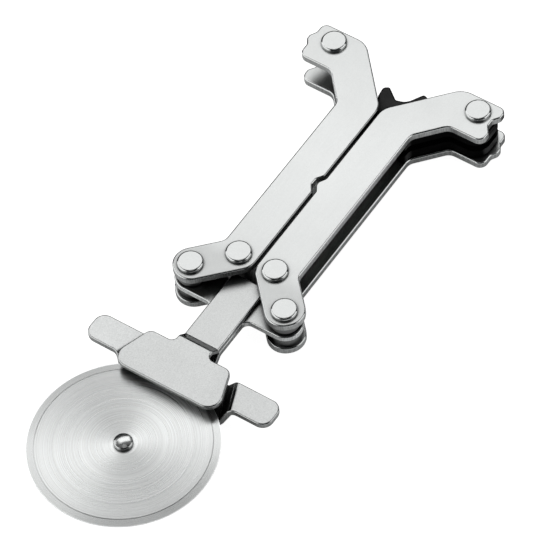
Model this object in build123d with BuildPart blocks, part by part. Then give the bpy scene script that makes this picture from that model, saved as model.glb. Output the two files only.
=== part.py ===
"""Folding wheel cutter for pizza and pastry.

A free-turning cutting wheel sits between a carrier plate and a guard plate.
Two handle halves, each a pair of flat plates riveted over spacers, pivot on
the ends of the carrier's cross bar.  Closed behind the wheel they make the
grip; swung half a turn forward they sheath the wheel, and a latch on the
right tip hooks the left tip.

Frame: +X to the right half, +Y from the wheel to the end of the grip, +Z up.
The cutter lies flat on its lower rivet heads; the origin is the bottom centre
of its bounding box.
"""
import os
from math import atan2, degrees, hypot, sqrt

from build123d import *

os.makedirs("parts", exist_ok=True)

# ------------------------------------------------------------------ stack (Z)
head_height = 1.5            # rivet heads above and below the handle plates
plate_thickness = 3.0        # handle plates
plate_gap = 10.5             # between the two plates of one half
running_gap = 0.3            # face clearance between pieces that turn
z_lower = head_height                        # underside of the lower plates
z_gap_low = z_lower + plate_thickness        # inner face of the lower plates
z_gap_high = z_gap_low + plate_gap           # inner face of the upper plates
z_top = z_gap_high + plate_thickness         # top of the upper plates
z_heads = z_top + head_height                # top of the upper heads

# ------------------------------------------------------------- plan positions
pivot_y = -5.0               # line through the two handle pivots
pivot_x = 19.1               # handle pivots
stop_x, stop_dy = 7.4, 12.0  # inner rivets of each half
tip_x, tip_dy = 29.7, 104.9  # tip rivets of each half
wheel_dy = -68.3             # wheel axis, in front of the pivots
wheel_y = pivot_y + wheel_dy

# ---------------------------------------------------------------------- wheel
wheel_radius = 32.5
wheel_thickness = 1.5
wheel_z = 9.3                # underside of the wheel
wheel_flat = 29.7            # radius where the ground edge starts
wheel_grind = [(0.3, 0.10), (2.8, 0.42)]   # out and down from there, upper face: run-in, bevel
wheel_back_grind = [(0.3, 0.18), (2.8, 0.88)]   # the same, lower face
axle_radius = 2.5
axle_step_radius = 2.0
axle_head_radius = 3.35
axle_head_wall = 0.5         # straight side of the axle's head
axle_head_edge = 0.7         # rounded rim of the head
axle_head_crown = 8.0        # radius of the domed top
axle_foot_radius = 3.6
axle_foot_height = 1.2
pin_clearance = 0.05         # radial, on every turning fit
snug = 0.02                  # radial, on fixed rivet holes

# --------------------------------------------------------------- handle plate
slit_half = 0.45             # half the slit between the closed halves
tooth_outer, recess_outer = 15.4, 14.6   # outer edge of the straight part, by pattern
far_edge_dy = 110.8
near_edge_dy = 94.4
diag_slope = 1.105           # rise of the far flare edge
diag_ref = (10.0, 99.7)
near_slope = 1.12            # rise of the near flare edge
near_ref = (19.0, 88.4)
tooth_lobe = (7.25, 6.75, 6.25)          # outer side, inner side and end of the pivot lobe
recess_lobe = (6.8, 6.85, 6.1)
tooth_dy = 50.5              # register tooth in the slit
tip_tooth_dy = 102.9         # register tooth at the tip
tooth_height, tooth_root, tooth_crown = 1.45, 3.2, 0.9
recess_depth, recess_root, recess_crown = 1.9, 3.9, 1.3
plate_edge = 0.6             # softened edges of the blanked plates

# ---------------------------------------------------------- rivets and spacers
head_radius = 4.6
head_edge = 0.8              # rounded rim of the heads
pivot_shank = 2.5
rivet_shank = 2.0
pivot_collar_radius = 5.0
stop_sleeve_radius = 3.3
tip_sleeve_radius = 3.0

# ---------------------------------------------------- carrier and guard plates
carrier_thickness = 2.5
carrier_z = 8.4              # underside at cross bar, shank and side tabs
carrier_low_z = 3.4          # underside below the wheel
sheet_edge = 0.5             # softened edges of the carrier and guard sheets
bar_half = 6.0               # half width of the cross bar
shank_half = 6.9
tongue_dy = 7.5              # end of the short tongue behind the cross bar
shank_ramp_start, shank_ramp_end = -21.0, -26.2
tab_far_dy, tab_near_dy, tab_end_x = -28.1, -38.8, 37.1
tab_bend = (19.5, -29.2)     # a point on the bend where the tab turns flat
tab_bend_dir = (0.3615, -0.9324)
tab_ramp = 3.5
arm_half = 8.5
guard_thickness = 2.0
guard_rise = 2.9
guard_ramp_start, guard_ramp_end = -22.0, -25.05
guard_near_dy = -45.1
guard_far_dy = -28.2

# ---------------------------------------------------------------------- latch
latch_z = z_gap_low + running_gap
latch_height = plate_gap - 2 * running_gap
latch_seat_radius = 3.4
latch_groove_low, latch_groove_high = 8.5, 11.6
latch_groove_clear = 0.75
latch_hub_radius = 4.45
latch_edge = 0.8


def at(x, dy):
    """A plan point given from the pivot line."""
    return (x, pivot_y + dy)


def flipped(outline):
    """The same outline on the left side."""
    points, radii = outline
    return [(-x, y) for x, y in reversed(points)], list(reversed(radii))


def far_line(x):
    return diag_ref[1] + diag_slope * (x - diag_ref[0])


def near_line(x):
    return near_ref[1] + near_slope * (x - near_ref[0])


def plate_outline(tooth_at_slit):
    """Outline of a right-hand plate.

    One pattern has its tooth at the slit and its recess at the tip, the other
    the reverse; a half carries one of each, so the halves register both when
    they are closed and when they are folded.
    """
    run = hypot(stop_x - pivot_x, stop_dy)
    ux, uy = (stop_x - pivot_x) / run, stop_dy / run
    nx, ny = uy, -ux

    def lobe(n, u):
        return (pivot_x + n * nx + u * ux, n * ny + u * uy)

    def on_lobe(n, x):
        u = (x - pivot_x - n * nx) / ux
        return (x, n * ny + u * uy)

    end_x = 2 * pivot_x - slit_half
    if tooth_at_slit:
        straight_outer, (lobe_outer, lobe_inner, lobe_end) = tooth_outer, tooth_lobe
        s_rise, s_root, s_crown = -tooth_height, tooth_root, tooth_crown
        t_rise, t_root, t_crown = -recess_depth, recess_root, recess_crown
    else:
        straight_outer, (lobe_outer, lobe_inner, lobe_end) = recess_outer, recess_lobe
        s_rise, s_root, s_crown = recess_depth, recess_root, recess_crown
        t_rise, t_root, t_crown = tooth_height, tooth_root, tooth_crown

    corner = (slit_half, far_line(slit_half))
    shoulder = (diag_ref[0] + (far_edge_dy - diag_ref[1]) / diag_slope, far_edge_dy)
    elbow = (near_ref[0] + (near_edge_dy - near_ref[1]) / near_slope, near_edge_dy)
    knee = (straight_outer, near_line(straight_outer))
    rows = [
        (lobe(-lobe_inner, -lobe_end), 6.6),
        (lobe(lobe_outer, -lobe_end), 6.6),
        (on_lobe(lobe_outer, straight_outer), 4.0),
        (knee, 4.0),
        (elbow, 4.0),
        ((end_x, near_edge_dy), 3.0),
        ((end_x, tip_tooth_dy - t_root), 1.6),
        ((end_x + t_rise, tip_tooth_dy - t_crown), 1.8),
        ((end_x + t_rise, tip_tooth_dy + t_crown), 1.8),
        ((end_x, tip_tooth_dy + t_root), 1.6),
        ((end_x, far_edge_dy), 2.6),
        (shoulder, 8.0),
        (corner, 7.0),
        ((slit_half, tooth_dy + s_root), 1.6),
        ((slit_half + s_rise, tooth_dy + s_crown), 1.8),
        ((slit_half + s_rise, tooth_dy - s_crown), 1.8),
        ((slit_half, tooth_dy - s_root), 1.6),
        (on_lobe(-lobe_inner, slit_half), 6.9),
    ]
    return [at(*p) for p, r in rows], [r for p, r in rows]


tooth_plate = plate_outline(True)
recess_plate = plate_outline(False)

left_pivot, right_pivot = at(-pivot_x, 0), at(pivot_x, 0)
left_stop, right_stop = at(-stop_x, stop_dy), at(stop_x, stop_dy)
left_tip, right_tip = at(-tip_x, tip_dy), at(tip_x, tip_dy)

# ============================================================ handle plates
with BuildPart() as left_upper_plate:
    with BuildSketch(Plane.XY.offset(z_gap_high)):
        with BuildLine():
            FilletPolyline(*flipped(recess_plate)[0], radius=flipped(recess_plate)[1], close=True)
        make_face()
    extrude(amount=plate_thickness)
    fillet(left_upper_plate.edges().group_by(Axis.Z)[-1], plate_edge)
    fillet(left_upper_plate.edges().group_by(Axis.Z)[0], plate_edge)
    with Locations((*left_pivot, z_top)):
        Hole(pivot_shank + snug)
    with Locations((*left_stop, z_top), (*left_tip, z_top)):
        Hole(rivet_shank + snug)
left_upper_plate.part.label = "left_upper_plate"
export_step(left_upper_plate.part, "parts/left_upper_plate.step")

with BuildPart() as left_lower_plate:
    with BuildSketch(Plane.XY.offset(z_lower)):
        with BuildLine():
            FilletPolyline(*flipped(tooth_plate)[0], radius=flipped(tooth_plate)[1], close=True)
        make_face()
    extrude(amount=plate_thickness)
    fillet(left_lower_plate.edges().group_by(Axis.Z)[-1], plate_edge)
    fillet(left_lower_plate.edges().group_by(Axis.Z)[0], plate_edge)
    with Locations((*left_pivot, z_gap_low)):
        Hole(pivot_shank + snug)
    with Locations((*left_stop, z_gap_low), (*left_tip, z_gap_low)):
        Hole(rivet_shank + snug)
left_lower_plate.part.label = "left_lower_plate"
export_step(left_lower_plate.part, "parts/left_lower_plate.step")

with BuildPart() as right_upper_plate:
    with BuildSketch(Plane.XY.offset(z_gap_high)):
        with BuildLine():
            FilletPolyline(*tooth_plate[0], radius=tooth_plate[1], close=True)
        make_face()
    extrude(amount=plate_thickness)
    fillet(right_upper_plate.edges().group_by(Axis.Z)[-1], plate_edge)
    fillet(right_upper_plate.edges().group_by(Axis.Z)[0], plate_edge)
    with Locations((*right_pivot, z_top)):
        Hole(pivot_shank + snug)
    with Locations((*right_stop, z_top), (*right_tip, z_top)):
        Hole(rivet_shank + snug)
right_upper_plate.part.label = "right_upper_plate"
export_step(right_upper_plate.part, "parts/right_upper_plate.step")

with BuildPart() as right_lower_plate:
    with BuildSketch(Plane.XY.offset(z_lower)):
        with BuildLine():
            FilletPolyline(*recess_plate[0], radius=recess_plate[1], close=True)
        make_face()
    extrude(amount=plate_thickness)
    fillet(right_lower_plate.edges().group_by(Axis.Z)[-1], plate_edge)
    fillet(right_lower_plate.edges().group_by(Axis.Z)[0], plate_edge)
    with Locations((*right_pivot, z_gap_low)):
        Hole(pivot_shank + snug)
    with Locations((*right_stop, z_gap_low), (*right_tip, z_gap_low)):
        Hole(rivet_shank + snug)
right_lower_plate.part.label = "right_lower_plate"
export_step(right_lower_plate.part, "parts/right_lower_plate.step")


# ================================================================== rivets
def rivet_profile(shank):
    """Half section of a flat-headed rivet through both plates, X radial."""
    rows = [
        ((0, 0), 0), ((head_radius, 0), head_edge), ((head_radius, z_lower), 0),
        ((shank, z_lower), 0), ((shank, z_top), 0), ((head_radius, z_top), 0),
        ((head_radius, z_heads), head_edge), ((0, z_heads), 0),
    ]
    return [p for p, r in rows], [r for p, r in rows]


with BuildPart() as left_pivot_rivet:
    with BuildSketch(Plane.XZ):
        with BuildLine():
            FilletPolyline(*rivet_profile(pivot_shank)[0], radius=rivet_profile(pivot_shank)[1], close=True)
        make_face()
    revolve(axis=Axis.Z)
left_pivot_rivet.part = left_pivot_rivet.part.moved(Location((*left_pivot, 0)))
left_pivot_rivet.part.label = "left_pivot_rivet"
export_step(left_pivot_rivet.part, "parts/left_pivot_rivet.step")

with BuildPart() as right_pivot_rivet:
    with BuildSketch(Plane.XZ):
        with BuildLine():
            FilletPolyline(*rivet_profile(pivot_shank)[0], radius=rivet_profile(pivot_shank)[1], close=True)
        make_face()
    revolve(axis=Axis.Z)
right_pivot_rivet.part = right_pivot_rivet.part.moved(Location((*right_pivot, 0)))
right_pivot_rivet.part.label = "right_pivot_rivet"
export_step(right_pivot_rivet.part, "parts/right_pivot_rivet.step")

with BuildPart() as left_stop_rivet:
    with BuildSketch(Plane.XZ):
        with BuildLine():
            FilletPolyline(*rivet_profile(rivet_shank)[0], radius=rivet_profile(rivet_shank)[1], close=True)
        make_face()
    revolve(axis=Axis.Z)
left_stop_rivet.part = left_stop_rivet.part.moved(Location((*left_stop, 0)))
left_stop_rivet.part.label = "left_stop_rivet"
export_step(left_stop_rivet.part, "parts/left_stop_rivet.step")

with BuildPart() as right_stop_rivet:
    with BuildSketch(Plane.XZ):
        with BuildLine():
            FilletPolyline(*rivet_profile(rivet_shank)[0], radius=rivet_profile(rivet_shank)[1], close=True)
        make_face()
    revolve(axis=Axis.Z)
right_stop_rivet.part = right_stop_rivet.part.moved(Location((*right_stop, 0)))
right_stop_rivet.part.label = "right_stop_rivet"
export_step(right_stop_rivet.part, "parts/right_stop_rivet.step")

with BuildPart() as left_tip_rivet:
    with BuildSketch(Plane.XZ):
        with BuildLine():
            FilletPolyline(*rivet_profile(rivet_shank)[0], radius=rivet_profile(rivet_shank)[1], close=True)
        make_face()
    revolve(axis=Axis.Z)
left_tip_rivet.part = left_tip_rivet.part.moved(Location((*left_tip, 0)))
left_tip_rivet.part.label = "left_tip_rivet"
export_step(left_tip_rivet.part, "parts/left_tip_rivet.step")

with BuildPart() as right_tip_rivet:
    with BuildSketch(Plane.XZ):
        with BuildLine():
            FilletPolyline(*rivet_profile(rivet_shank)[0], radius=rivet_profile(rivet_shank)[1], close=True)
        make_face()
    revolve(axis=Axis.Z)
right_tip_rivet.part = right_tip_rivet.part.moved(Location((*right_tip, 0)))
right_tip_rivet.part.label = "right_tip_rivet"
export_step(right_tip_rivet.part, "parts/right_tip_rivet.step")

# ================================================= collars, sleeves and bush
upper_collar_z = carrier_z + carrier_thickness + running_gap
upper_collar_h = z_gap_high - upper_collar_z
lower_collar_h = carrier_z - running_gap - z_gap_low

with BuildPart() as left_upper_collar:
    with BuildSketch(Plane.XY.offset(upper_collar_z)):
        with Locations(left_pivot):
            Circle(pivot_collar_radius)
            Circle(pivot_shank + snug, mode=Mode.SUBTRACT)
    extrude(amount=upper_collar_h)
    chamfer(left_upper_collar.edges().group_by(Axis.Z)[0].sort_by(SortBy.LENGTH)[-1], 0.4)
left_upper_collar.part.label = "left_upper_collar"
export_step(left_upper_collar.part, "parts/left_upper_collar.step")

with BuildPart() as left_lower_collar:
    with BuildSketch(Plane.XY.offset(z_gap_low)):
        with Locations(left_pivot):
            Circle(pivot_collar_radius)
            Circle(pivot_shank + snug, mode=Mode.SUBTRACT)
    extrude(amount=lower_collar_h)
    chamfer(left_lower_collar.edges().group_by(Axis.Z)[-1].sort_by(SortBy.LENGTH)[-1], 0.4)
left_lower_collar.part.label = "left_lower_collar"
export_step(left_lower_collar.part, "parts/left_lower_collar.step")

with BuildPart() as right_upper_collar:
    with BuildSketch(Plane.XY.offset(upper_collar_z)):
        with Locations(right_pivot):
            Circle(pivot_collar_radius)
            Circle(pivot_shank + snug, mode=Mode.SUBTRACT)
    extrude(amount=upper_collar_h)
    chamfer(right_upper_collar.edges().group_by(Axis.Z)[0].sort_by(SortBy.LENGTH)[-1], 0.4)
right_upper_collar.part.label = "right_upper_collar"
export_step(right_upper_collar.part, "parts/right_upper_collar.step")

with BuildPart() as right_lower_collar:
    with BuildSketch(Plane.XY.offset(z_gap_low)):
        with Locations(right_pivot):
            Circle(pivot_collar_radius)
            Circle(pivot_shank + snug, mode=Mode.SUBTRACT)
    extrude(amount=lower_collar_h)
    chamfer(right_lower_collar.edges().group_by(Axis.Z)[-1].sort_by(SortBy.LENGTH)[-1], 0.4)
right_lower_collar.part.label = "right_lower_collar"
export_step(right_lower_collar.part, "parts/right_lower_collar.step")

with BuildPart() as left_stop_sleeve:
    with BuildSketch(Plane.XY.offset(z_gap_low)):
        with Locations(left_stop):
            Circle(stop_sleeve_radius)
            Circle(rivet_shank + snug, mode=Mode.SUBTRACT)
    extrude(amount=plate_gap)
left_stop_sleeve.part.label = "left_stop_sleeve"
export_step(left_stop_sleeve.part, "parts/left_stop_sleeve.step")

with BuildPart() as right_stop_sleeve:
    with BuildSketch(Plane.XY.offset(z_gap_low)):
        with Locations(right_stop):
            Circle(stop_sleeve_radius)
            Circle(rivet_shank + snug, mode=Mode.SUBTRACT)
    extrude(amount=plate_gap)
right_stop_sleeve.part.label = "right_stop_sleeve"
export_step(right_stop_sleeve.part, "parts/right_stop_sleeve.step")

with BuildPart() as left_tip_sleeve:
    with BuildSketch(Plane.XY.offset(z_gap_low)):
        with Locations(left_tip):
            Circle(tip_sleeve_radius)
            Circle(rivet_shank + snug, mode=Mode.SUBTRACT)
    extrude(amount=plate_gap)
left_tip_sleeve.part.label = "left_tip_sleeve"
export_step(left_tip_sleeve.part, "parts/left_tip_sleeve.step")

with BuildPart() as latch_bush:
    with BuildSketch(Plane.XY.offset(z_gap_low)):
        with Locations(right_tip):
            Circle(tip_sleeve_radius)
            Circle(rivet_shank + snug, mode=Mode.SUBTRACT)
    extrude(amount=plate_gap)
latch_bush.part.label = "latch_bush"
export_step(latch_bush.part, "parts/latch_bush.step")

# ============================================================ carrier plate
# The carrier is one bent sheet: cross bar, shank and side tabs at one level,
# and below the wheel a lower level that runs out to the axle.
high, low, t = carrier_z, carrier_low_z, carrier_thickness
bx, by = tab_bend
dx, dy = tab_bend_dir
nx, ny = -dy, dx

carrier_plan = [
    (at(shank_half, 0), 0), (at(shank_half, tab_far_dy), 3.0),
    (at(tab_end_x, tab_far_dy), 4.0), (at(tab_end_x, tab_near_dy), 4.0),
    (at(23.6, tab_near_dy), 4.0), (at(arm_half, -53.5), 9.0),
    (at(arm_half, wheel_dy - arm_half), 8.0), (at(-arm_half, wheel_dy - arm_half), 8.0),
    (at(-arm_half, -53.5), 9.0), (at(-23.6, tab_near_dy), 4.0),
    (at(-tab_end_x, tab_near_dy), 4.0), (at(-tab_end_x, tab_far_dy), 4.0),
    (at(-shank_half, tab_far_dy), 3.0), (at(-shank_half, 0), 0),
]
riser_plane = Plane(
    origin=(bx - dx * 6.0, pivot_y + by - dy * 6.0, 0), x_dir=(nx, ny, 0), z_dir=(dx, dy, 0)
)
# on that plane +X runs out from the bend and +Y is up or down the sheet
riser_up = 1.0 if riser_plane.y_dir.Z > 0 else -1.0
riser_rows = [
    (-20.0, low, 0), (-tab_ramp, low, 2.6), (0.0, high, 0.9), (20.0, high, 0),
    (20.0, high + t, 0), (-0.9, high + t, 2.6), (-tab_ramp - 0.9, low + t, 0.9), (-20.0, low + t, 0),
]
shank_rows = [
    (0.0, high, 0), (shank_ramp_start, high, 0.9), (shank_ramp_end, low, 2.6), (-80.0, low, 0),
    (-80.0, low + t, 0), (shank_ramp_end - 0.9, low + t, 0.9),
    (shank_ramp_start - 0.9, high + t, 2.6), (0.0, high + t, 0),
]

with BuildPart() as carrier_plate:
    with BuildSketch(riser_plane):
        with BuildLine():
            FilletPolyline(
                *[(x, z * riser_up) for x, z, r in riser_rows],
                radius=[r for x, z, r in riser_rows], close=True,
            )
        make_face()
    extrude(amount=60)
    mirror(about=Plane.YZ)
    with BuildSketch():
        with Locations(at(0, 0)):
            Rectangle(200, 2 * 27.9)
    extrude(amount=30, mode=Mode.SUBTRACT)
    with BuildSketch(Plane.YZ):
        with BuildLine():
            FilletPolyline(
                *[(pivot_y + y, z) for y, z, r in shank_rows],
                radius=[r for y, z, r in shank_rows], close=True,
            )
        make_face()
    extrude(amount=13.0, both=True)
    with BuildSketch():
        with BuildLine():
            FilletPolyline(
                *[p for p, r in carrier_plan], radius=[r for p, r in carrier_plan], close=True
            )
        make_face()
    extrude(amount=30, mode=Mode.INTERSECT)
    with BuildSketch(Plane.XY.offset(carrier_z)):
        with Locations(at(0, 0)):
            SlotCenterToCenter(2 * pivot_x, 2 * bar_half)
            Rectangle(2 * shank_half, tongue_dy, align=(Align.CENTER, Align.MIN))
    extrude(amount=carrier_thickness)
    for corner_dy, corner_radius in ((-bar_half, 2.4), (bar_half, 0.8), (tongue_dy, 0.8)):
        fillet(
            carrier_plate.edges().filter_by(Axis.Z).filter_by(
                lambda e: abs(abs(e.center().X) - shank_half) < 0.01
                and abs(e.center().Y - (pivot_y + corner_dy)) < 0.01
            ),
            corner_radius,
        )
    # the outlines of both faces are tangent all the way round, so one edge of each leads the rest
    fillet(
        carrier_plate.edges().filter_by(Axis.X).filter_by(
            lambda e: abs(e.center().Y - (pivot_y + bar_half)) < 0.01
        ),
        sheet_edge,
    )
    with Locations((*left_pivot, carrier_z + carrier_thickness), (*right_pivot, carrier_z + carrier_thickness)):
        Hole(pivot_shank + pin_clearance)
    with Locations((0, wheel_y, carrier_low_z + carrier_thickness)):
        Hole(axle_step_radius + snug)
carrier_plate.part.label = "carrier_plate"
export_step(carrier_plate.part, "parts/carrier_plate.step")

# ============================================================== guard plate
guard_z = carrier_z + carrier_thickness
g = guard_thickness
guard_rows = [
    (tongue_dy - 0.2, guard_z, 0), (guard_ramp_start - 0.3, guard_z, 1.9),
    (guard_ramp_end - 0.3, guard_z + guard_rise, 0.7), (-60.0, guard_z + guard_rise, 0),
    (-60.0, guard_z + guard_rise + g, 0), (guard_ramp_end, guard_z + guard_rise + g, 1.9),
    (guard_ramp_start, guard_z + g, 0.7), (tongue_dy - 0.2, guard_z + g, 0),
]
guard_half_plan = [
    (at(shank_half - 0.1, tongue_dy - 0.2), 0.8), (at(shank_half - 0.1, guard_far_dy), 2.2),
    (at(16.3, guard_far_dy), 3.0), (at(22.3, guard_near_dy), 4.8),
]
guard_plan = guard_half_plan + [((-p[0], p[1]), r) for p, r in reversed(guard_half_plan)]

with BuildPart() as guard_plate:
    with BuildSketch(Plane.YZ):
        with BuildLine():
            FilletPolyline(
                *[(pivot_y + y, z) for y, z, r in guard_rows],
                radius=[r for y, z, r in guard_rows], close=True,
            )
        make_face()
    extrude(amount=30, both=True)
    with BuildSketch():
        with BuildLine():
            FilletPolyline(*[p for p, r in guard_plan], radius=[r for p, r in guard_plan], close=True)
        make_face()
    extrude(amount=30, mode=Mode.INTERSECT)
    front_z = (guard_z + guard_rise, guard_z + guard_rise + g)
    fillet(
        guard_plate.edges().filter_by(
            lambda e: any(
                abs(e.bounding_box().min.Z - z) + abs(e.bounding_box().max.Z - z) < 0.01 for z in front_z
            ) and (abs(e.center().X) > 0.01 or e.center().Y < pivot_y + guard_near_dy + 0.01)
        ),
        sheet_edge,
    )
guard_plate.part.label = "guard_plate"
export_step(guard_plate.part, "parts/guard_plate.step")

# ============================================================ wheel and axle
wheel_top = wheel_z + wheel_thickness
grind_top = [(wheel_flat + out, wheel_top - down) for out, down in wheel_grind]
grind_low = [(wheel_flat + out, wheel_z + up) for out, up in reversed(wheel_back_grind)]
with BuildPart() as cutting_wheel:
    with BuildSketch(Plane.XZ):
        with BuildLine():
            Polyline(
                (axle_radius + pin_clearance, wheel_top), (wheel_flat, wheel_top), *grind_top,
                *grind_low, (wheel_flat, wheel_z), (axle_radius + pin_clearance, wheel_z),
                close=True,
            )
        make_face()
    revolve(axis=Axis.Z)
cutting_wheel.part = cutting_wheel.part.moved(Location((0, wheel_y, 0)))
cutting_wheel.part.label = "cutting_wheel"
export_step(cutting_wheel.part, "parts/cutting_wheel.step")

dome_z = wheel_top + running_gap
arm_top = carrier_low_z + carrier_thickness
wall_z = dome_z + axle_head_wall
rim_x = axle_head_radius - axle_head_edge
crown_z = wall_z - sqrt((axle_head_crown - axle_head_edge) ** 2 - rim_x**2)
crown_share = axle_head_crown / (axle_head_crown - axle_head_edge)
crown_start = (rim_x * crown_share, crown_z + (wall_z - crown_z) * crown_share)
crown_top = (0, crown_z + axle_head_crown)
with BuildPart() as wheel_axle:
    with BuildSketch(Plane.XZ):
        with BuildLine():
            Polyline(
                (0, carrier_low_z - axle_foot_height),
                (axle_foot_radius - 0.4, carrier_low_z - axle_foot_height),
                (axle_foot_radius, carrier_low_z - axle_foot_height + 0.4),
                (axle_foot_radius, carrier_low_z),
                (axle_step_radius, carrier_low_z), (axle_step_radius, arm_top),
                (axle_radius, arm_top), (axle_radius, dome_z),
                (axle_head_radius - 0.25, dome_z), (axle_head_radius, dome_z + 0.25),
                (axle_head_radius, wall_z),
            )
            RadiusArc((axle_head_radius, wall_z), crown_start, -axle_head_edge)
            RadiusArc(crown_start, crown_top, -axle_head_crown)
            Line(crown_top, (0, carrier_low_z - axle_foot_height))
        make_face()
    revolve(axis=Axis.Z)
wheel_axle.part = wheel_axle.part.moved(Location((0, wheel_y, 0)))
wheel_axle.part.label = "wheel_axle"
export_step(wheel_axle.part, "parts/wheel_axle.step")

with BuildPart() as wheel_spacer:
    with BuildSketch(Plane.XY.offset(arm_top)):
        with Locations((0, wheel_y)):
            Circle(5.2)
            Circle(axle_radius + snug, mode=Mode.SUBTRACT)
    extrude(amount=wheel_z - running_gap - arm_top)
    chamfer(wheel_spacer.edges().group_by(Axis.Z)[-1].sort_by(SortBy.LENGTH)[-1], 0.4)
wheel_spacer.part.label = "wheel_spacer"
export_step(wheel_spacer.part, "parts/wheel_spacer.step")

# ==================================================================== latch
# Folded, the left tip lies this far beyond the right tip, so the seat of the
# hook is cut that far from the latch's own pivot.
seat_reach = 2 * (2 * pivot_x - tip_x)
seat = (tip_x - seat_reach, tip_dy)
latch_rows = [
    ((14.4, 79.8), 1.5), ((14.4, near_line(14.4) + 0.9), 4.0),
    ((23.9, near_edge_dy + 0.6), 4.0), ((36.7, near_edge_dy + 0.6), 6.0),
    ((36.7, tip_dy + 4.5), 4.3), ((20.0, tip_dy + 4.5), 6.0),
    ((17.2, 106.0), 1.5), ((11.0, 103.4), 2.0), ((8.0, 104.0), 1.0), ((4.5, 98.0), 5.0),
    ((0.85, 97.0), 1.0), ((-4.0, 100.75), 1.0), ((-6.0, 99.5), 1.6), ((-5.5, 95.4), 2.2),
    ((-1.6, 88.6), 3.0),
]
# the wheel, as the latch meets it when the right half is folded over it
sheathed = at(2 * pivot_x, -wheel_dy)
swung = (2 * right_tip[0] - sheathed[0], 2 * right_tip[1] - sheathed[1])
groove_radius = wheel_radius + latch_groove_clear
to_wheel = degrees(atan2(sheathed[1] - right_tip[1], sheathed[0] - right_tip[0]))

with BuildPart() as latch:
    with BuildSketch(Plane.XY.offset(latch_z)) as latch_plan:
        with BuildLine():
            FilletPolyline(
                *[at(*p) for p, r in latch_rows], radius=[r for p, r in latch_rows], close=True
            )
        make_face()
        with Locations(at(*seat)):
            Circle(latch_seat_radius, mode=Mode.SUBTRACT)
        fillet(
            latch_plan.vertices().filter_by(
                lambda v: abs(hypot(v.X - at(*seat)[0], v.Y - at(*seat)[1]) - latch_seat_radius) < 0.01
            ),
            0.9,
        )
    extrude(amount=latch_height)
    fillet(latch.edges().group_by(Axis.Z)[-1], latch_edge)
    fillet(latch.edges().group_by(Axis.Z)[0], latch_edge)
    # slot for the rim of the wheel, open over the whole swing of the latch
    with BuildSketch(Plane.XY.offset(latch_groove_low)):
        with Locations(sheathed, swung):
            Circle(groove_radius)
        with Locations(Location((*right_tip, 0), (0, 0, to_wheel))):
            Rectangle(160, 60, align=(Align.CENTER, Align.MIN))
        with Locations(right_tip):
            Circle(latch_hub_radius, mode=Mode.SUBTRACT)
    extrude(amount=latch_groove_high - latch_groove_low, mode=Mode.SUBTRACT)
    with Locations((*right_tip, latch_z + latch_height)):
        Hole(tip_sleeve_radius + pin_clearance)
latch.part.label = "latch"
export_step(latch.part, "parts/latch.step")
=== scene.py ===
import math

import bpy
from mathutils import Matrix, Vector

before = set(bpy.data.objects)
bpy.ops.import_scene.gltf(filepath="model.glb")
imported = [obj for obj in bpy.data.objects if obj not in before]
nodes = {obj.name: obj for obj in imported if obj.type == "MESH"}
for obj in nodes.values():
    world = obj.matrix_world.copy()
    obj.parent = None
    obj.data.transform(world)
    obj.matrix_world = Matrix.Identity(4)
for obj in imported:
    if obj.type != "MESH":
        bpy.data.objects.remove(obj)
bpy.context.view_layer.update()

scene = bpy.context.scene

WHEEL_CENTRE = (0.0, -0.0733)     # axle of the wheel, metres
WHEEL_FLAT = 29.7                 # radius where the ground bevel starts, millimetres
WHEEL_EDGE = 32.5                 # radius of the cutting edge, millimetres


# ---------------------------------------------------------------- node helpers

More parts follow.
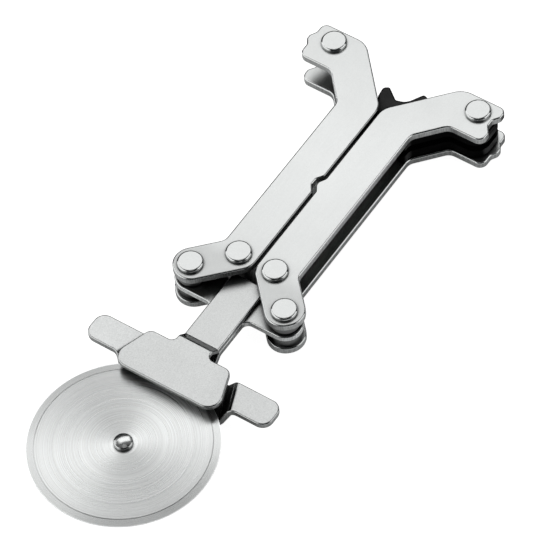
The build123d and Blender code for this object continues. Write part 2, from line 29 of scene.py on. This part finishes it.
class Tree:
    """A small wrapper that makes and links shader nodes."""

    def __init__(self, owner):
        owner.use_nodes = True
        self.t = owner.node_tree
        self.t.nodes.clear()

    def put(self, socket, value):
        if isinstance(value, bpy.types.NodeSocket):
            self.t.links.new(value, socket)
        else:
            socket.default_value = value

    def node(self, kind, inputs=None, **props):
        n = self.t.nodes.new(kind)
        for k, v in props.items():
            setattr(n, k, v)
        for k, v in (inputs or {}).items():
            self.put(n.inputs[k], v)
        return n

    def math(self, op, a, b=None, c=None, clamp=False):
        n = self.node("ShaderNodeMath", operation=op, use_clamp=clamp)
        for i, v in enumerate((a, b, c)):
            if v is not None:
                self.put(n.inputs[i], v)
        return n.outputs[0]

    def vec(self, op, a, b=None, scale=None):
        n = self.node("ShaderNodeVectorMath", operation=op)
        self.put(n.inputs[0], a)
        if b is not None:
            self.put(n.inputs[1], b)
        if scale is not None:
            self.put(n.inputs["Scale"], scale)
        return n.outputs["Value"] if op in ("LENGTH", "DOT_PRODUCT", "DISTANCE") else n.outputs[0]

    def remap(self, value, a, b, lo=0.0, hi=1.0, smooth=False):
        n = self.node("ShaderNodeMapRange", clamp=True,
                      interpolation_type="SMOOTHSTEP" if smooth else "LINEAR")
        for k, v in (("Value", value), ("From Min", a), ("From Max", b), ("To Min", lo), ("To Max", hi)):
            self.put(n.inputs[k], v)
        return n.outputs["Result"]

    def noise(self, vector, scale, detail=3.0, rough=0.55, distortion=0.0):
        n = self.node("ShaderNodeTexNoise", {
            "Vector": vector, "Scale": scale, "Detail": detail,
            "Roughness": rough, "Distortion": distortion})
        return n.outputs[0]

    def mix(self, factor, a, b):
        n = self.node("ShaderNodeMix", data_type="RGBA")
        self.put(n.inputs[0], factor)
        self.put(n.inputs[6], a)
        self.put(n.inputs[7], b)
        return n.outputs[2]

    def blend(self, factor, a, b):
        n = self.node("ShaderNodeMix", data_type="FLOAT")
        self.put(n.inputs[0], factor)
        self.put(n.inputs[2], a)
        self.put(n.inputs[3], b)
        return n.outputs[0]

    def bump(self, height, strength, distance, normal=None):
        inputs = {"Height": height, "Strength": strength, "Distance": distance}
        if normal is not None:
            inputs["Normal"] = normal
        return self.node("ShaderNodeBump", inputs).outputs[0]

    def coords(self):
        """Place on the piece in millimetres, and its own surface normal."""
        c = self.node("ShaderNodeTexCoord")
        p = self.vec("SCALE", c.outputs["Object"], scale=1000.0)
        return p, c.outputs["Normal"]

    def clean(self, reach, shut, free, least):
        """Painted shade: a factor falling from 1 in the open to least in tight gaps, read from ambient occlusion."""
        ao = self.node("ShaderNodeAmbientOcclusion", {"Distance": reach}, samples=6).outputs["AO"]
        return self.remap(ao, shut, free, least, 1.0, smooth=True)

    def stretch(self, p, sx, sy, sz):
        return self.vec("MULTIPLY", p, (sx, sy, sz))

    def shader(self, **inputs):
        b = self.node("ShaderNodeBsdfPrincipled")
        for k, v in inputs.items():
            self.put(b.inputs[k.replace("_", " ")], v)
        out = self.node("ShaderNodeOutputMaterial")
        self.t.links.new(b.outputs[0], out.inputs[0])
        return b


def grey(v, cool=0.0):
    """A steel grey, with a touch of green-blue."""
    return (v * (1.0 - 0.018 - cool), v, v * (1.0 - 0.008 + cool * 0.2), 1.0)


# ---------------------------------------------------------------- materials

def sheet_steel(name, light, dark, flat_rough, wall_light, wall_rough, along, speckle, edge_light, edge_rough, shade, painted_shade_ranges=None, painted_lift=None):
    """Stamped stainless sheet: satin faces with a faint drawn grain, sheared walls, tumbled edges."""
    m = bpy.data.materials.new(name)
    t = Tree(m)
    p, n = t.coords()
    nz = t.math("ABSOLUTE", t.node("ShaderNodeSeparateXYZ", {"Vector": n}).outputs[2])
    wall = t.remap(nz, 0.35, 0.08, smooth=True)
    edge = t.math("MULTIPLY", t.remap(nz, 0.995, 0.93, smooth=True), t.math("SUBTRACT", 1.0, wall))

    cloud = t.noise(p, 0.07, 3.0, 0.5)                                  # slow clouding of the finish
    mottle = t.noise(p, 0.55, 4.0, 0.6)                                 # satin mottling
    fine = t.noise(p, 4.5, 2.0, 0.5)                                    # blasted grain
    hair = t.noise(t.stretch(p, *along), 1.0, 3.0, 0.6)                 # faint drawn grain
    scratch = t.remap(t.noise(t.stretch(p, along[0] * 0.45, along[1] * 0.5, 1.0), 1.0, 1.0, 0.4, 0.3),
                      0.70, 0.78)                                       # a few light handling marks
    shear = t.noise(t.stretch(p, 2.2, 2.2, 0.22), 1.0, 3.0, 0.6)        # shear marks down the walls
    peen = t.noise(p, 2.7, 2.0, 0.6)                                    # blasted speckle
    least = shade[1]
    if painted_shade_ranges:                                                            # painted gap shade eases off from the pivots towards the grip
        along_y = t.node("ShaderNodeSeparateXYZ", {"Vector": p}).outputs[1]
        least = t.remap(along_y, 6.0, 20.0, shade[1], shade[2], smooth=True)
    clean = t.blend(wall, t.clean(0.020, 0.10, shade[0], least), t.clean(0.014, 0.08, 0.46, 0.06))  # painted shade in the gaps
    painted_seam_shade = t.clean(0.0016, 0.30, 0.85, 0.25)                           # and painted shade in the seams and at the feet of the rivets

    tone = t.math("ADD", t.math("MULTIPLY", cloud, 0.35),
                  t.math("ADD", t.math("MULTIPLY", mottle, 0.35), t.math("MULTIPLY", hair, 0.30)))
    face = t.mix(t.remap(tone, 0.33, 0.67), grey(dark), grey(light))
    face = t.mix(t.math("MULTIPLY", scratch, 0.25), face, grey(light * 1.06))
    if painted_shade_ranges:                                                            # painted shade: darker round the pivots, fading along the grip, and slightly darker towards the tips
        y = t.node("ShaderNodeSeparateXYZ", {"Vector": t.vec("ADD", p, t.vec("SCALE", (0.0, 1.0, 0.0), scale=t.math("MULTIPLY", cloud, 2.0)))}).outputs[1]
        face = t.mix(t.remap(y, painted_shade_ranges[0], painted_shade_ranges[1], smooth=True), grey(painted_shade_ranges[2]), face)
        face = t.vec("SCALE", face, scale=t.remap(y, painted_shade_ranges[1], painted_shade_ranges[1] + 45.0, 0.93, 1.0, smooth=True))
        face = t.vec("SCALE", face, scale=t.remap(y, 70.0, 96.0, 1.0, 0.945, smooth=True))
    face = t.vec("SCALE", face, scale=t.remap(peen, 0.25, 0.75, 1.0 - speckle, 1.0 + speckle))
    walls = t.mix(t.remap(shear, 0.3, 0.7), grey(wall_light * 0.55), grey(wall_light * 1.05))
    rim = grey(edge_light)
    if painted_shade_ranges:                                                            # painted shade on the edge rounds along the slit, hiding their highlight
        beside = t.math("ABSOLUTE", t.node("ShaderNodeSeparateXYZ", {"Vector": p}).outputs[0])
        rim = t.vec("SCALE", rim[:3], scale=t.remap(beside, 0.7, 2.2, 0.30, 1.0, smooth=True))
    if painted_lift:                                                            # painted light and shade: left tab face lighter, walls and edges lighter along the bar and darker at the front end
        face = t.vec("SCALE", face, scale=t.remap(t.node("ShaderNodeSeparateXYZ", {"Vector": p}).outputs[0], -18.0, -25.0, 1.0, 1.08, smooth=True))
        bar = t.remap(t.node("ShaderNodeSeparateXYZ", {"Vector": p}).outputs[1], painted_lift[0], painted_lift[1], smooth=True)
        walls = t.vec("SCALE", walls, scale=t.blend(bar, 0.8, painted_lift[2]))
        rim = t.vec("SCALE", rim[:3], scale=t.blend(bar, 1.0, painted_lift[3]))
    colour = t.mix(wall, face, walls)
    colour = t.mix(t.math("MULTIPLY", edge, 0.8), colour, rim)
    colour = t.vec("SCALE", colour, scale=t.math("MULTIPLY", clean, painted_seam_shade))

    r_face = t.remap(t.math("ADD", t.math("MULTIPLY", mottle, 0.5), t.math("MULTIPLY", fine, 0.5)),
                     0.3, 0.7, flat_rough - 0.035, flat_rough + 0.035)
    r_wall = t.remap(shear, 0.3, 0.7, wall_rough - 0.05, wall_rough + 0.06)
    rough = t.blend(wall, r_face, r_wall)
    rough = t.blend(edge, rough, edge_rough)

    height = t.math("ADD", t.math("MULTIPLY", fine, 0.5),
                    t.math("ADD", t.math("MULTIPLY", mottle, 0.3), t.math("MULTIPLY", hair, 0.35)))
    normal = t.bump(t.blend(wall, height, shear), t.blend(wall, 0.05, 0.14), 0.00012)
    t.shader(Base_Color=colour, Metallic=1.0, Roughness=rough, Normal=normal)
    return m


def wheel_steel(name):
    """Ground wheel: fine rings about the axle, a separately ground bevel and a bright cutting edge."""
    m = bpy.data.materials.new(name)
    t = Tree(m)
    p, n = t.coords()
    q = t.vec("SUBTRACT", p, (WHEEL_CENTRE[0] * 1000.0, WHEEL_CENTRE[1] * 1000.0, 0.0))
    q = t.vec("MULTIPLY", q, (1.0, 1.0, 0.0))
    r = t.vec("LENGTH", q)
    way = t.vec("NORMALIZE", q)

    def rings(per_mm, turn, detail, rough):
        up = t.node("ShaderNodeCombineXYZ", {"Z": t.math("MULTIPLY", r, per_mm)}).outputs[0]
        return t.noise(t.vec("ADD", t.vec("SCALE", way, scale=turn), up), 1.0, detail, rough)

    broad = rings(0.6, 0.02, 2.0, 0.5)
    mid = rings(1.6, 0.06, 2.0, 0.6)
    fine = rings(3.4, 0.10, 2.0, 0.65)
    bevel = t.remap(r, WHEEL_FLAT - 0.05, WHEEL_FLAT + 0.10, smooth=True)
    lip = t.remap(r, WHEEL_EDGE - 0.30, WHEEL_EDGE - 0.12, smooth=True)
    hub = t.remap(r, 5.2, 4.4, smooth=True)

    tone = t.math("ADD", t.math("MULTIPLY", broad, 0.14),
                  t.math("ADD", t.math("MULTIPLY", mid, 0.38), t.math("MULTIPLY", fine, 0.48)))
    face = t.mix(t.remap(tone, 0.42, 0.59), grey(0.535), grey(0.912))
    face = t.mix(t.math("MULTIPLY", hub, 0.5), face, grey(0.84))
    ground = t.mix(t.remap(fine, 0.3, 0.7), grey(0.60), grey(0.675))
    colour = t.mix(bevel, face, ground)
    colour = t.mix(lip, colour, grey(0.92))

    r_face = t.remap(t.math("ADD", t.math("MULTIPLY", mid, 0.5), t.math("MULTIPLY", fine, 0.5)), 0.40, 0.60, 0.26, 0.46)
    r_bevel = t.remap(fine, 0.3, 0.7, 0.25, 0.34)
    rough = t.blend(bevel, r_face, r_bevel)

    height = t.math("ADD", t.math("MULTIPLY", fine, 0.6), t.math("MULTIPLY", mid, 0.6))
    normal = t.bump(height, t.blend(bevel, 0.22, 0.06), 0.00010)
    tangent = t.node("ShaderNodeTangent", direction_type="RADIAL", axis="Z").outputs[0]
    t.shader(Base_Color=colour, Metallic=1.0, Roughness=rough, Normal=normal,
             Anisotropic=0.84, Anisotropic_Rotation=0.25, Tangent=tangent)
    return m


def turned_steel(name, base, side, top_rough, wall_rough):
    """Headed and turned pins: nearly polished heads with faint turning marks and soft wear."""
    m = bpy.data.materials.new(name)
    t = Tree(m)
    p, n = t.coords()
    nz = t.math("ABSOLUTE", t.node("ShaderNodeSeparateXYZ", {"Vector": n}).outputs[2])
    top = t.remap(nz, 0.95, 0.995, smooth=True)
    mottle = t.noise(p, 0.8, 4.0, 0.6)
    fine = t.noise(p, 6.0, 2.0, 0.5)
    turn = t.noise(t.stretch(p, 0.25, 0.25, 6.0), 1.0, 3.0, 0.6)        # turning marks round the walls
    tone = t.math("ADD", t.math("MULTIPLY", mottle, 0.6), t.math("MULTIPLY", fine, 0.4))
    face = t.mix(t.remap(tone, 0.35, 0.65), grey(base * 0.95), grey(base * 1.03))
    wall = t.mix(t.remap(turn, 0.3, 0.7), grey(side * 0.90), grey(side))
    # painted shade: the pins darken where they stand in gaps
    colour = t.vec("SCALE", t.mix(top, wall, face), scale=t.clean(0.010, 0.06, 0.40, 0.10))
    r_top = t.remap(tone, 0.35, 0.65, top_rough - 0.03, top_rough + 0.04)
    r_wall = t.remap(turn, 0.3, 0.7, wall_rough - 0.02, wall_rough + 0.03)
    rough = t.blend(top, r_wall, r_top)
    normal = t.bump(t.blend(top, turn, fine), 0.04, 0.00010)
    t.shader(Base_Color=colour, Metallic=1.0, Roughness=rough, Normal=normal)
    return m


def black_plastic(name):
    """Moulded black plastic with a fine spark grain, a little paler where edges rub."""
    m = bpy.data.materials.new(name)
    t = Tree(m)
    p, n = t.coords()
    nz = t.math("ABSOLUTE", t.node("ShaderNodeSeparateXYZ", {"Vector": n}).outputs[2])
    rub = t.math("MULTIPLY", t.remap(nz, 0.98, 0.75, smooth=True), t.remap(nz, 0.10, 0.45, smooth=True))
    cloud = t.noise(p, 0.25, 3.0, 0.5)
    grain = t.noise(p, 5.0, 3.0, 0.6)
    colour = t.mix(t.remap(cloud, 0.35, 0.65), (0.0012, 0.0012, 0.0013, 1.0), (0.0030, 0.0030, 0.0032, 1.0))
    colour = t.mix(t.math("MULTIPLY", rub, 0.5), colour, (0.008, 0.008, 0.0085, 1.0))
    rough = t.remap(grain, 0.3, 0.7, 0.26, 0.40)
    normal = t.bump(grain, 0.20, 0.00012)
    nx = t.node("ShaderNodeSeparateXYZ", {"Vector": n}).outputs[0]
    side = t.math("MULTIPLY", t.remap(nz, 0.5, 0.2, smooth=True), t.remap(nx, 0.96, 0.82, 0.0, 0.94, smooth=True))
    handled = t.remap(t.noise(p, 0.16, 2.0, 0.5), 0.30, 0.70, 0.80, 1.05, smooth=True)    # duller and shinier patches
    patches_and_side_shade = t.math("MULTIPLY", handled, t.math("SUBTRACT", 1.0, side))                     # vertical sides, except those facing +X, get little specular as painted shade
    # specular is also cut in tight gaps, as painted shade
    t.shader(Base_Color=colour, Metallic=0.0, Roughness=rough, Normal=normal, IOR=1.36,
             Specular_IOR_Level=t.math("MULTIPLY", t.clean(0.012, 0.30, 0.85, 0.03), t.math("MULTIPLY", patches_and_side_shade, 0.44)))
    return m


looks = {
    "handle_steel": sheet_steel("handle_satin_steel", 0.645, 0.585, 0.30, 0.66, 0.36, (3.2, 0.09, 1.0), 0.04, 0.86, 0.15, (0.95, 0.06, 0.85), (2.5, 10.0, 0.505)),
    "head_steel": sheet_steel("head_satin_steel", 0.56, 0.49, 0.32, 0.62, 0.36, (3.0, 0.10, 1.0), 0.15, 0.62, 0.17, (0.70, 0.06), None, (-26.0, -16.0, 1.8, 1.4)),
    "wheel_steel": wheel_steel("wheel_ground_steel"),
    "rivet_steel": turned_steel("rivet_polished_steel", 0.495, 0.84, 0.15, 0.08),
    # the spacers get a darker steel than the rivets, as painted shade for the gaps they sit in
    "spacer_steel": turned_steel("spacer_turned_steel", 0.28, 0.26, 0.36, 0.34),
    "latch_plastic": black_plastic("latch_black_plastic"),
}
axle_look = turned_steel("axle_turned_steel", 0.63, 0.69, 0.19, 0.17)
for ob in nodes.values():
    for s in ob.material_slots:
        key = next(k for k in looks if s.material.name.startswith(k))
        s.material = axle_look if ob is nodes["wheel_axle"] else looks[key]


# ---------------------------------------------------------------- camera

AZ, EL, ROLL = (math.radians(a) for a in (38.57, 53.88, -5.98))
TARGET, DISTANCE = Vector((0.00583, 0.00407, 0.018)), 1.5002
back = Vector((math.sin(AZ) * math.cos(EL), -math.cos(AZ) * math.cos(EL), math.sin(EL)))
right = Vector((math.cos(AZ), math.sin(AZ), 0.0))
up = back.cross(right)
r2 = math.cos(ROLL) * right + math.sin(ROLL) * up
u2 = -math.sin(ROLL) * right + math.cos(ROLL) * up
lens = bpy.data.cameras.new("camera")
lens.sensor_fit = "AUTO"
lens.sensor_width = 36.0
lens.lens = 291.19
lens.clip_start, lens.clip_end = 0.05, 50.0
camera = bpy.data.objects.new("camera", lens)
place = Matrix((r2, u2, back)).transposed().to_4x4()
place.translation = TARGET + DISTANCE * back
camera.matrix_world = place
scene.collection.objects.link(camera)
scene.camera = camera


# ---------------------------------------------------------------- floor, light

def soft_box(name, centre, aim, long_way, size, radiance):
    """A rectangular soft light of even radiance, its long side along long_way."""
    data = bpy.data.lights.new(name, "AREA")
    data.shape = "RECTANGLE"
    data.size, data.size_y = size
    data.energy = radiance * math.pi * size[0] * size[1]
    ob = bpy.data.objects.new(name, data)
    z = (Vector(centre) - Vector(aim)).normalized()
    x = Vector(long_way)
    x = (x - x.dot(z) * z).normalized()
    y = z.cross(x)
    m = Matrix((x, y, z)).transposed().to_4x4()
    m.translation = Vector(centre)
    ob.matrix_world = m
    ob.visible_camera = False
    scene.collection.objects.link(ob)
    return ob


soft_box("key_box", (-0.46, 0.576, 1.01), (0.0, 0.0, 0.0), (0.50, 0.87, 0.0), (1.10, 0.66), 1.46)
soft_box("over_box", (-0.34, 0.43, 1.32), (0.0, 0.0, 0.0), (0.50, 0.87, 0.0), (1.70, 1.10), 0.15)
soft_box("right_box", (0.98, 0.48, 0.59), (0.0, 0.0, 0.0), (-0.44, 0.898, 0.0), (1.10, 1.05), 1.00)
soft_box("left_box", (-0.915, -0.680, 0.61), (0.0, 0.0, 0.0), (0.596, -0.803, 0.0), (2.05, 1.20), 1.05)
soft_box("front_box", (-0.12, -1.13, 0.62), (0.0, 0.0, 0.0), (1.0, -0.1, 0.0), (0.34, 0.80), 0.50)
soft_box("top_box", (0.05, -0.03, 1.50), (0.0, 0.0, 0.0), (1.0, 0.0, 0.0), (0.45, 0.45), 0.34)
soft_box("back_box", (0.10, 1.25, 0.56), (0.0, 0.0, 0.0), (1.0, 0.0, 0.0), (0.80, 0.46), 0.44)

world = bpy.data.worlds.new("studio")
scene.world = world
w = Tree(world)
ray = w.node("ShaderNodeLightPath").outputs["Is Camera Ray"]
dim = w.node("ShaderNodeBackground", {"Color": (0.90, 0.95, 1.0, 1.0), "Strength": 0.02})
white = w.node("ShaderNodeBackground", {"Color": (1.0, 1.0, 1.0, 1.0), "Strength": 1.0})
both = w.node("ShaderNodeMixShader", {0: ray, 1: dim.outputs[0], 2: white.outputs[0]})
w.node("ShaderNodeOutputWorld", {0: both.outputs[0]})

mesh = bpy.data.meshes.new("floor")
half = 6.0
mesh.from_pydata([(-half, -half, 0), (half, -half, 0), (half, half, 0), (-half, half, 0)], [], [(0, 1, 2, 3)])
floor = bpy.data.objects.new("floor", mesh)
floor.location.z = -0.0002
scene.collection.objects.link(floor)
fm = bpy.data.materials.new("floor_paper")
f = Tree(fm)
fp, _ = f.coords()
speck = f.remap(f.noise(fp, 0.02, 3.0, 0.5), 0.3, 0.7, 0.97, 1.0)
ray = f.node("ShaderNodeLightPath").outputs["Is Camera Ray"]
# for rays other than the camera's the floor glows, dimmed near the object as a painted contact shadow and darkened
# behind the object and on later bounces as painted shade
near = f.node("ShaderNodeAmbientOcclusion", {"Distance": 0.03}, samples=6).outputs["AO"]
first = f.math("LESS_THAN", f.node("ShaderNodeLightPath").outputs["Ray Depth"], 1.5)
fxyz = f.node("ShaderNodeSeparateXYZ", {"Vector": fp})
behind = f.math("MAXIMUM",
                f.math("MULTIPLY", f.remap(fxyz.outputs[0], -16.0, -26.0, smooth=True),
                       f.math("MULTIPLY", f.remap(fxyz.outputs[1], -20.0, 0.0, smooth=True),
                              f.remap(fxyz.outputs[1], 66.0, 52.0, smooth=True))),
                f.remap(fxyz.outputs[1], 98.0, 112.0, smooth=True))
open_side = f.math("MULTIPLY", first, f.remap(behind, 0.0, 1.0, 1.0, 0.05))
paper = f.node("ShaderNodeAddShader", {
    0: f.node("ShaderNodeBsdfDiffuse", {"Color": f.mix(open_side, (0.10, 0.10, 0.10, 1.0), (0.80, 0.81, 0.81, 1.0))}).outputs[0],
    1: f.node("ShaderNodeEmission", {"Strength": f.math("MULTIPLY", open_side, f.math("MULTIPLY", near, 0.22))}).outputs[0]})
glow = f.node("ShaderNodeEmission", {"Color": (1.0, 1.0, 1.0, 1.0), "Strength": f.math("MULTIPLY", speck, 0.97)})
sheen = f.node("ShaderNodeBsdfDiffuse", {"Color": (0.75, 0.75, 0.75, 1.0)})
seen = f.node("ShaderNodeAddShader", {0: glow.outputs[0], 1: sheen.outputs[0]})
both = f.node("ShaderNodeMixShader", {0: ray, 1: paper.outputs[0], 2: seen.outputs[0]})
f.node("ShaderNodeOutputMaterial", {0: both.outputs[0]})
floor.data.materials.append(fm)

scene.view_settings.view_transform = "Standard"
scene.view_settings.look = "None"
scene.view_settings.exposure = 0.0
scene.view_settings.gamma = 1.0
